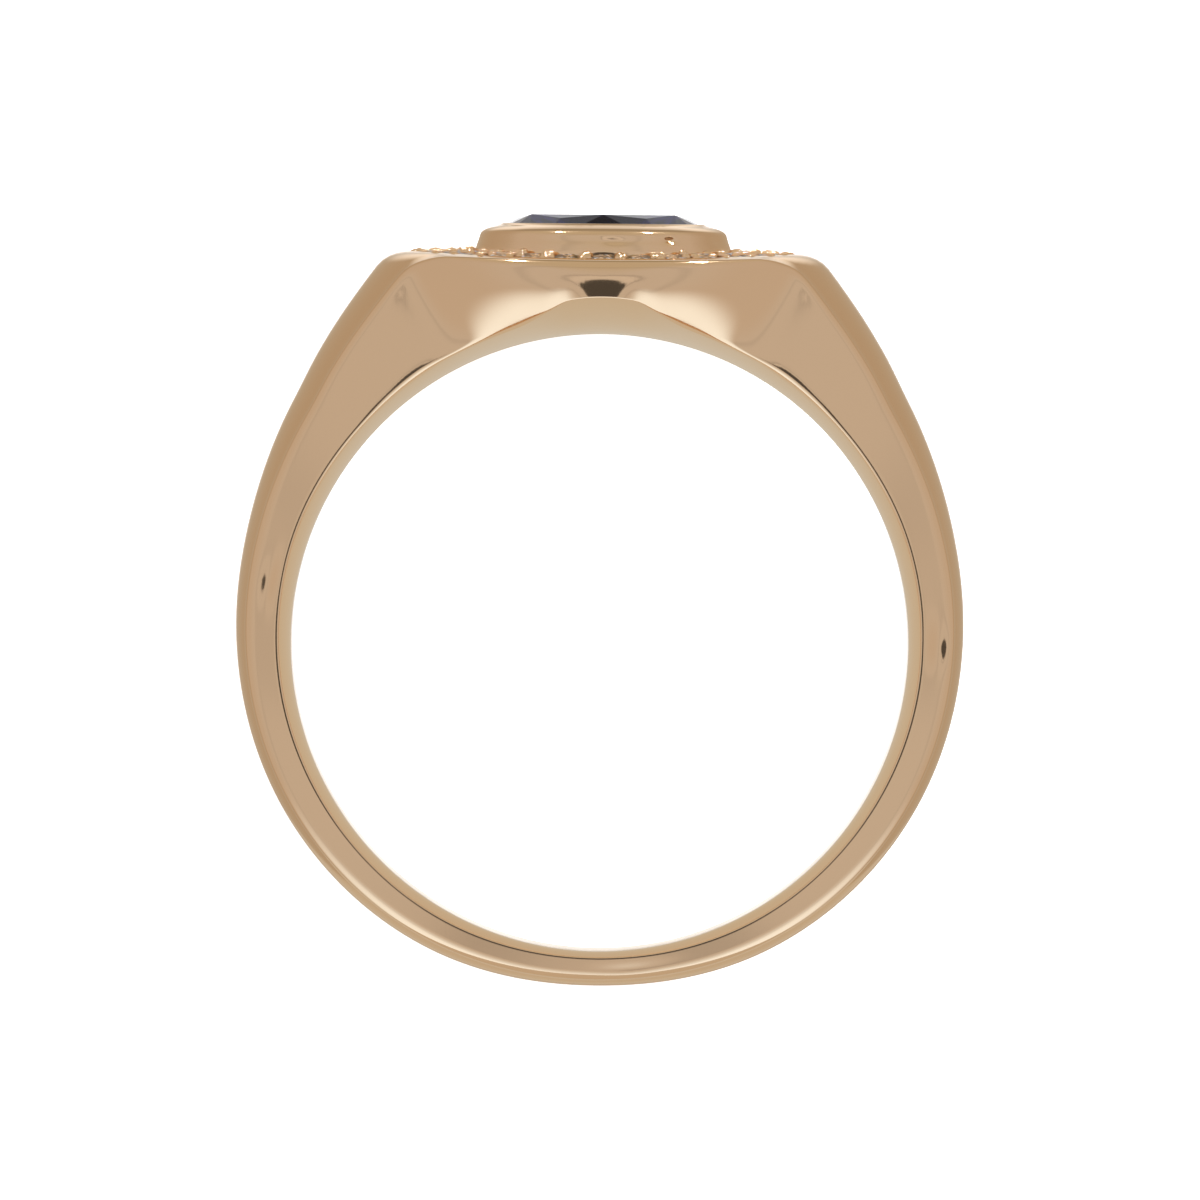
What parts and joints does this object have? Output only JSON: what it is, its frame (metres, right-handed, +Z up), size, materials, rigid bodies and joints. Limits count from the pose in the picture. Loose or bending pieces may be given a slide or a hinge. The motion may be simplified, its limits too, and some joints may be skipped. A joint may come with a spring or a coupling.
{
  "type": "gemstone ring",
  "caption": "Gold oval signet ring lying on its side, with a rub-over set oval dark sapphire and a bead-set field of small diamonds.",
  "frame": {"origin": "on the surface the ring lies on, under the middle of its box", "axes": "+Z up from that surface, +Y towards the head, +X across the finger; the finger's axis leans back from +Z by the tip of the ring"},
  "size_m": [0.0218, 0.0234, 0.0148],
  "materials": {
    "gold": "polished gold",
    "sapphire": "polished dark sapphire",
    "diamond": "polished diamond"
  },
  "bodies": {
    "root": {"gold_body": "gold", "sapphire": "sapphire", "pave_diamonds": "diamond"}
  },
  "joints": []
}
